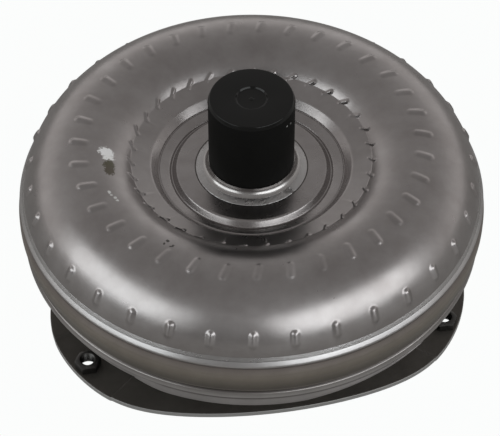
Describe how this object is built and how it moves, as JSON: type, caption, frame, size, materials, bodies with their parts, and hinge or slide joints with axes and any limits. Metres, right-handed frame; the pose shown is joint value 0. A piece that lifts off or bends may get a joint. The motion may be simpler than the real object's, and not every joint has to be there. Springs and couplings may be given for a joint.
{
  "type": "torque converter",
  "caption": "Lock-up torque converter: round bladed steel housing with a capped splined hub, a lobed flange plate with weld nuts, and turbine, stator, damper and clutch inside.",
  "frame": {"origin": "centre of the crank pilot's flat end face, on the axis of rotation", "axes": "+Z along the axis of rotation, towards the impeller hub and its cap; -Y is the side that the picture is taken from; one lobe of the flange plate points 8.9 degrees past +Y towards -X"},
  "size_m": [0.282, 0.282, 0.1577],
  "materials": {
    "shell_steel": "pressed and brushed steel, satin, faint heat tints",
    "cover_steel": "pressed steel, satin, olive-brown heat tint",
    "weld_steel": "bright turned weld bead",
    "hub_steel": "ground steel, semi-bright",
    "plate_steel": "dark oiled sheet steel with bright sheared edges",
    "nut_steel": "dark oiled steel",
    "cap_plastic": "black moulded polyethylene, soft sheen",
    "sheet_steel": "pressed steel, oiled",
    "cast_aluminium": "die-cast, as cast",
    "bearing_steel": "hardened and ground",
    "spring_steel": "blued spring wire",
    "lining_paper": "friction paper",
    "seal_rubber": "matt rubber"
  },
  "bodies": {
    "housing": {"impeller_shell": "shell_steel", "impeller_blades": "sheet_steel", "impeller_hub": "hub_steel", "hub_weld": "weld_steel", "front_cover": "cover_steel", "girth_weld": "weld_steel", "flange_plate": "plate_steel", "crank_pilot": "hub_steel", "cover_thrust_washer": "lining_paper", "impeller_bearing_upper_race": "bearing_steel", "rim_strip_1": "cover_steel", "rim_strip_2": "cover_steel", "rim_strip_3": "cover_steel", "weld_nut_1": "nut_steel", "weld_nut_2": "nut_steel", "weld_nut_3": "nut_steel"},
    "cap": {"hub_cap": "cap_plastic"},
    "turbine": {"turbine_shell": "sheet_steel", "turbine_blades": "sheet_steel", "turbine_hub": "hub_steel", "damper_driven_flange": "sheet_steel", "piston_seal": "seal_rubber", "turbine_bearing_lower_race": "bearing_steel", "turbine_rivet_1": "bearing_steel", "turbine_rivet_2": "bearing_steel", "turbine_rivet_3": "bearing_steel", "turbine_rivet_4": "bearing_steel"},
    "stator": {"stator_wheel": "cast_aluminium", "freewheel_outer_race": "bearing_steel", "freewheel_side_ring": "sheet_steel", "impeller_bearing_lower_race": "bearing_steel", "turbine_bearing_upper_race": "bearing_steel", "freewheel_roller_1": "bearing_steel", "freewheel_roller_2": "bearing_steel", "freewheel_roller_3": "bearing_steel", "freewheel_roller_4": "bearing_steel", "freewheel_roller_5": "bearing_steel", "freewheel_roller_6": "bearing_steel", "freewheel_roller_7": "bearing_steel", "freewheel_roller_8": "bearing_steel"},
    "inner_race": {"stator_inner_race": "bearing_steel"},
    "impeller_cage": {"impeller_bearing_needle_cage": "bearing_steel"},
    "turbine_cage": {"turbine_bearing_needle_cage": "bearing_steel"},
    "damper_drive": {"damper_drive_plate": "sheet_steel", "damper_retainer": "sheet_steel", "damper_rivet_1": "bearing_steel", "damper_rivet_2": "bearing_steel", "damper_rivet_3": "bearing_steel", "damper_rivet_4": "bearing_steel"},
    "damper_springs": {"damper_spring_1": "spring_steel", "damper_spring_2": "spring_steel", "damper_spring_3": "spring_steel", "damper_spring_4": "spring_steel"},
    "piston": {"lockup_piston": "sheet_steel", "friction_lining": "lining_paper"}
  },
  "joints": [
    {"name": "cap_pull", "type": "slide", "parent": "housing", "child": "cap", "axis": [0, 0, 1], "range_m": [0, 0.055]},
    {"name": "turbine_spin", "type": "hinge", "parent": "housing", "child": "turbine", "pos_m": [0, 0, 0], "axis": [0, 0, 1], "continuous": true},
    {"name": "stator_spin", "type": "hinge", "parent": "housing", "child": "stator", "pos_m": [0, 0, 0], "axis": [0, 0, 1], "continuous": true},
    {"name": "inner_race_spin", "type": "hinge", "parent": "housing", "child": "inner_race", "pos_m": [0, 0, 0], "axis": [0, 0, 1], "continuous": true},
    {"name": "impeller_cage_spin", "type": "hinge", "parent": "housing", "child": "impeller_cage", "pos_m": [0, 0, 0], "axis": [0, 0, 1], "continuous": true},
    {"name": "turbine_cage_spin", "type": "hinge", "parent": "housing", "child": "turbine_cage", "pos_m": [0, 0, 0], "axis": [0, 0, 1], "continuous": true},
    {"name": "damper_twist", "type": "hinge", "parent": "turbine", "child": "damper_drive", "pos_m": [0, 0, 0], "axis": [0, 0, 1], "range_deg": [-5, 5], "stiffness_Nm_per_rad": 300},
    {"name": "damper_spring_shift", "type": "hinge", "parent": "turbine", "child": "damper_springs", "pos_m": [0, 0, 0], "axis": [0, 0, 1], "range_deg": [-2.5, 2.5]},
    {"name": "piston_apply", "type": "slide", "parent": "damper_drive", "child": "piston", "axis": [0, 0, -1], "range_m": [0, 0.0012]}
  ],
  "couplings": [
    {"joint": "impeller_cage_spin", "follows": "stator_spin", "ratio": 0.5},
    {"joint": "turbine_cage_spin", "follows": "turbine_spin", "ratio": 0.5},
    {"joint": "damper_spring_shift", "follows": "damper_twist", "ratio": 0.5}
  ]
}
